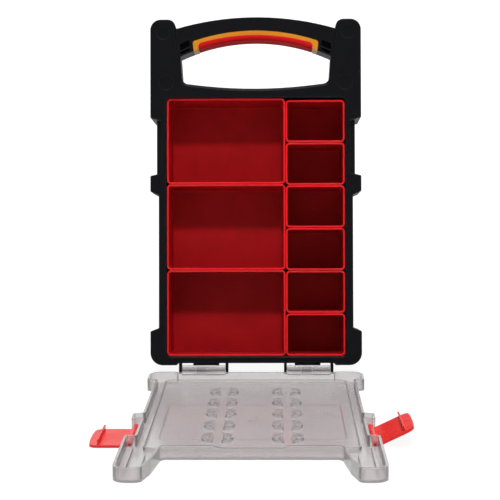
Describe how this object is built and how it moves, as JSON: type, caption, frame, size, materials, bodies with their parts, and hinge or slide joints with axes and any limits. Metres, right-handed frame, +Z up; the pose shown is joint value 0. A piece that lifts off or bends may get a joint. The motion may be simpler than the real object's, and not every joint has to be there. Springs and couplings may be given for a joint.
{
  "type": "parts organizer",
  "caption": "Moulded parts case standing open: lift-out bins in a tray, an arched carry handle, a clear hinged lid lying flat and side latches that hook it shut.",
  "frame": {"origin": "middle of the lid's outer face, on the surface that the open case stands on", "axes": "+X to the right seen from the front, +Y from the lid back to the tray, +Z up"},
  "size_m": [0.3089, 0.5247, 0.4119],
  "materials": {
    "tray_black": "black impact plastic with a fine spark-eroded texture",
    "trim_amber": "satin amber plastic",
    "grip_red": "soft-touch moulded grip",
    "bin_red": "smooth semi-gloss polypropylene",
    "lid_clear": "clear moulded plastic with a light haze",
    "latch_red": "glossy red plastic",
    "pin_steel": "drawn steel wire",
    "label_sheet": "bare printed film with a thin border"
  },
  "bodies": {
    "base": {"base_tray": "tray_black", "handle_trim": "trim_amber", "handle_grip": "grip_red", "hinge_pin_left": "pin_steel", "hinge_pin_right": "pin_steel"},
    "lid": {"lid": "lid_clear", "lid_label": "label_sheet"},
    "latch_left": {"latch_left": "latch_red"},
    "latch_right": {"latch_right": "latch_red"},
    "large_bin_1": {"large_bin_1": "bin_red"},
    "large_bin_2": {"large_bin_2": "bin_red"},
    "large_bin_3": {"large_bin_3": "bin_red"},
    "small_bin_1": {"small_bin_1": "bin_red"},
    "small_bin_2": {"small_bin_2": "bin_red"},
    "small_bin_3": {"small_bin_3": "bin_red"},
    "small_bin_4": {"small_bin_4": "bin_red"},
    "small_bin_5": {"small_bin_5": "bin_red"},
    "small_bin_6": {"small_bin_6": "bin_red"}
  },
  "joints": [
    {"name": "lid_hinge", "type": "hinge", "parent": "base", "child": "lid", "pos_m": [0, 0.1655, 0.016], "axis": [1, 0, 0], "range_deg": [-98.4, 0]},
    {"name": "latch_left_swing", "type": "hinge", "parent": "lid", "child": "latch_left", "pos_m": [-0.1152, -0.0867, 0.0043], "axis": [0, -1, 0], "range_deg": [-90, 0]},
    {"name": "latch_right_swing", "type": "hinge", "parent": "lid", "child": "latch_right", "pos_m": [0.1152, -0.0867, 0.0043], "axis": [0, 1, 0], "range_deg": [-64.2, 25.8]},
    {"name": "large_bin_1_lift", "type": "slide", "parent": "base", "child": "large_bin_1", "axis": [0, -0.9893, 0.1461], "range_m": [0, 0.08]},
    {"name": "large_bin_2_lift", "type": "slide", "parent": "base", "child": "large_bin_2", "axis": [0, -0.9893, 0.1461], "range_m": [0, 0.08]},
    {"name": "large_bin_3_lift", "type": "slide", "parent": "base", "child": "large_bin_3", "axis": [0, -0.9893, 0.1461], "range_m": [0, 0.08]},
    {"name": "small_bin_1_lift", "type": "slide", "parent": "base", "child": "small_bin_1", "axis": [0, -0.9893, 0.1461], "range_m": [0, 0.08]},
    {"name": "small_bin_2_lift", "type": "slide", "parent": "base", "child": "small_bin_2", "axis": [0, -0.9893, 0.1461], "range_m": [0, 0.08]},
    {"name": "small_bin_3_lift", "type": "slide", "parent": "base", "child": "small_bin_3", "axis": [0, -0.9893, 0.1461], "range_m": [0, 0.08]},
    {"name": "small_bin_4_lift", "type": "slide", "parent": "base", "child": "small_bin_4", "axis": [0, -0.9893, 0.1461], "range_m": [0, 0.08]},
    {"name": "small_bin_5_lift", "type": "slide", "parent": "base", "child": "small_bin_5", "axis": [0, -0.9893, 0.1461], "range_m": [0, 0.08]},
    {"name": "small_bin_6_lift", "type": "slide", "parent": "base", "child": "small_bin_6", "axis": [0, -0.9893, 0.1461], "range_m": [0, 0.08]}
  ]
}
